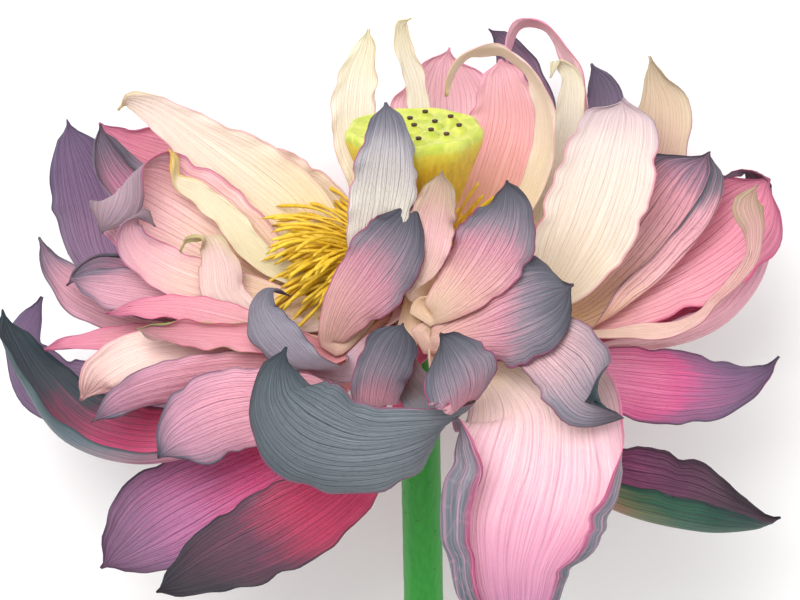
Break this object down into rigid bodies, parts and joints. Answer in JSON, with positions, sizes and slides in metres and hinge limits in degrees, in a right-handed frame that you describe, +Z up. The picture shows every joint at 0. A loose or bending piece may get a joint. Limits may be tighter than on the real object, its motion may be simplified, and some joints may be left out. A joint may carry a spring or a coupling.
{
  "type": "double lotus flower",
  "caption": "Cut double lotus bloom lying on its back petals, with curled and folded petals round a flat-topped seed receptacle on a straight stalk.",
  "frame": {"origin": "middle of the flower's bounding box, on the surface it lies on", "axes": "+X to the flower's right, +Y along the stalk from its cut end through the bloom, +Z up"},
  "size_m": [0.2368, 0.2946, 0.1384],
  "materials": {
    "petal_back": "rose-pink back petals, cream at the base, lightly veined",
    "petal_right": "deep pink right petals with dull purple backs",
    "petal_centre": "small cream and blush inner petals",
    "petal_front": "pale pink front petals with slate and mauve margins",
    "petal_left": "mauve-pink left petals with yellow bases and slate tips",
    "petal_under": "dull green and purple outermost petals",
    "receptacle": "waxy lime-green top with golden-yellow sides",
    "stem": "fresh green stalk, finely prickled",
    "stamens": "pale yellow filaments with cream anthers"
  },
  "bodies": {
    "root": {"petal_back_1": "petal_back", "petal_back_2": "petal_back", "petal_back_3": "petal_back", "petal_back_4": "petal_back", "petal_back_5": "petal_back", "petal_back_6": "petal_back", "petal_back_7": "petal_back", "petal_back_8": "petal_back", "petal_back_9": "petal_back", "petal_right_1": "petal_right", "petal_right_2": "petal_right", "petal_right_3": "petal_right", "petal_right_4": "petal_right", "petal_right_5": "petal_right", "petal_right_6": "petal_right", "petal_right_7": "petal_right", "petal_right_8": "petal_right", "petal_centre_1": "petal_centre", "petal_centre_2": "petal_centre", "petal_centre_3": "petal_centre", "petal_centre_4": "petal_centre", "petal_centre_5": "petal_centre", "petal_front_1": "petal_front", "petal_front_2": "petal_front", "petal_front_3": "petal_front", "petal_front_4": "petal_front", "petal_front_5": "petal_front", "petal_front_6": "petal_front", "petal_left_1": "petal_left", "petal_left_2": "petal_left", "petal_left_3": "petal_left", "petal_left_4": "petal_left", "petal_left_5": "petal_left", "petal_left_6": "petal_left", "petal_left_7": "petal_left", "petal_left_8": "petal_left", "petal_left_9": "petal_left", "petal_left_10": "petal_left", "petal_left_11": "petal_left", "petal_left_12": "petal_left", "petal_left_13": "petal_left", "petal_left_14": "petal_left", "petal_left_15": "petal_left", "petal_left_16": "petal_left", "petal_left_17": "petal_left", "petal_left_18": "petal_left", "petal_left_19": "petal_left", "petal_left_20": "petal_left", "petal_left_21": "petal_left", "petal_left_22": "petal_left", "petal_under_1": "petal_under", "petal_under_2": "petal_under", "petal_under_3": "petal_under", "petal_under_4": "petal_under", "petal_under_5": "petal_under", "petal_under_6": "petal_under", "receptacle": "receptacle", "stem": "stem", "stamens": "stamens"}
  },
  "joints": []
}
